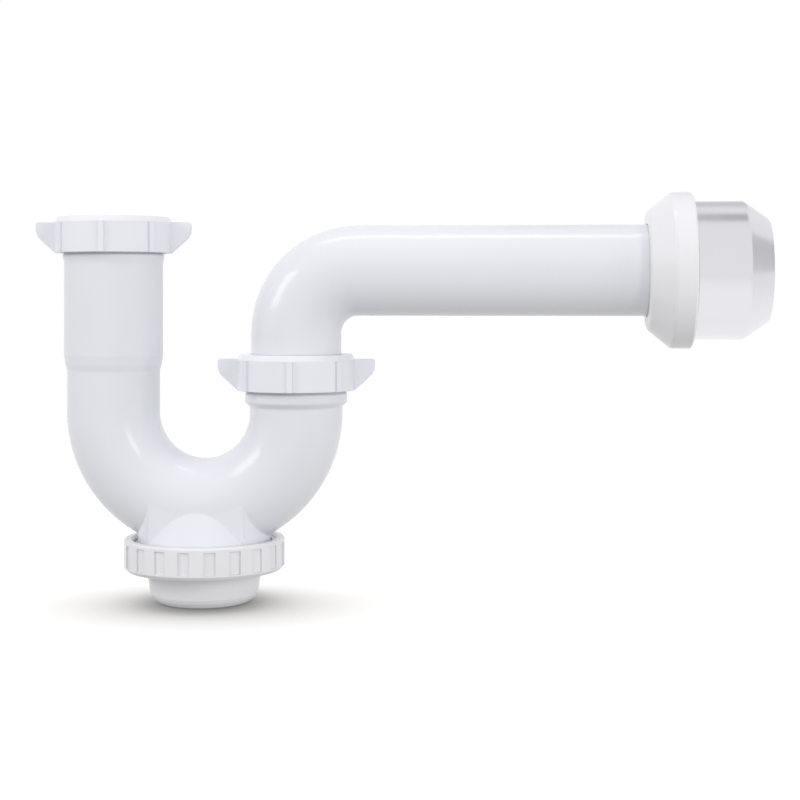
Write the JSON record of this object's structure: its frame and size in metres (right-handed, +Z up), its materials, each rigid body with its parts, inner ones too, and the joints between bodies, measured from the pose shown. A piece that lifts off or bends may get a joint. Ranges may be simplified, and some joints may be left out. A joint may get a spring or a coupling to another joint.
{
  "type": "p-trap with cleanout",
  "caption": "White plastic U-bend trap with winged slip nuts, a fluted cleanout ring and cup under the bend, and a horizontal arm ending in a conical nut and bright wall sleeve.",
  "frame": {"origin": "on the inlet axis, where the washer seat in the inlet socket ends and its straight bore begins", "axes": "+Z up along the inlet socket, out of its mouth; +X along the trap arm, towards the wall"},
  "size_m": [0.2568, 0.0566, 0.1438],
  "materials": {
    "trap_plastic": "glossy cool white",
    "nut_plastic": "glossy cool white",
    "cap_plastic": "glossy neutral white",
    "seal_rubber": "matt black",
    "bright_metal": "bright chrome"
  },
  "bodies": {
    "trap": {"trap_body": "trap_plastic"},
    "inlet_washer": {"inlet_washer": "seal_rubber"},
    "inlet_nut": {"inlet_nut": "nut_plastic"},
    "union_washer": {"union_washer": "seal_rubber"},
    "union_nut": {"union_nut": "nut_plastic"},
    "arm": {"trap_arm": "trap_plastic"},
    "cleanout_cup": {"cleanout_cup": "cap_plastic", "cleanout_gasket": "seal_rubber"},
    "cleanout_ring": {"cleanout_ring": "cap_plastic"},
    "wall_sleeve": {"wall_sleeve": "bright_metal"},
    "wall_seal": {"wall_seal": "seal_rubber"},
    "wall_nut": {"wall_nut": "cap_plastic"}
  },
  "joints": [
    {"name": "inlet_nut_rise", "type": "slide", "parent": "trap", "child": "inlet_washer", "axis": [0, 0, 1], "range_m": [0, 0.0075]},
    {"name": "inlet_nut_turn", "type": "hinge", "parent": "inlet_washer", "child": "inlet_nut", "pos_m": [0, 0, 0], "axis": [0, 0, 1], "range_deg": [0, 1080]},
    {"name": "union_nut_rise", "type": "slide", "parent": "trap", "child": "union_washer", "axis": [0, 0, 1], "range_m": [0, 0.00625]},
    {"name": "union_nut_turn", "type": "hinge", "parent": "union_washer", "child": "union_nut", "pos_m": [0.0654, 0, -0.0483], "axis": [0, 0, 1], "range_deg": [0, 900]},
    {"name": "arm_swivel", "type": "hinge", "parent": "trap", "child": "arm", "pos_m": [0.0654, 0, -0.0483], "axis": [0, 0, 1], "range_deg": [-110, 110]},
    {"name": "cleanout_drop", "type": "slide", "parent": "trap", "child": "cleanout_cup", "axis": [0, 0, -1], "range_m": [0, 0.0075]},
    {"name": "cleanout_turn", "type": "hinge", "parent": "cleanout_cup", "child": "cleanout_ring", "pos_m": [0.0327, 0, -0.11], "axis": [0, 0, -1], "range_deg": [0, 900]},
    {"name": "sleeve_slide", "type": "slide", "parent": "arm", "child": "wall_sleeve", "axis": [1, 0, 0], "range_m": [-0.08, 0.012]},
    {"name": "wall_nut_back", "type": "slide", "parent": "wall_sleeve", "child": "wall_seal", "axis": [-1, 0, 0], "range_m": [0, 0.0075]},
    {"name": "wall_nut_turn", "type": "hinge", "parent": "wall_seal", "child": "wall_nut", "pos_m": [0.195, 0, -0.0104], "axis": [-1, 0, 0], "range_deg": [0, 1080]}
  ],
  "couplings": [
    {"joint": "inlet_nut_rise", "follows": "inlet_nut_turn", "m_per_rad": 0.00039788},
    {"joint": "union_nut_rise", "follows": "union_nut_turn", "m_per_rad": 0.00039788},
    {"joint": "cleanout_drop", "follows": "cleanout_turn", "m_per_rad": 0.00047746},
    {"joint": "wall_nut_back", "follows": "wall_nut_turn", "m_per_rad": 0.00039788}
  ]
}
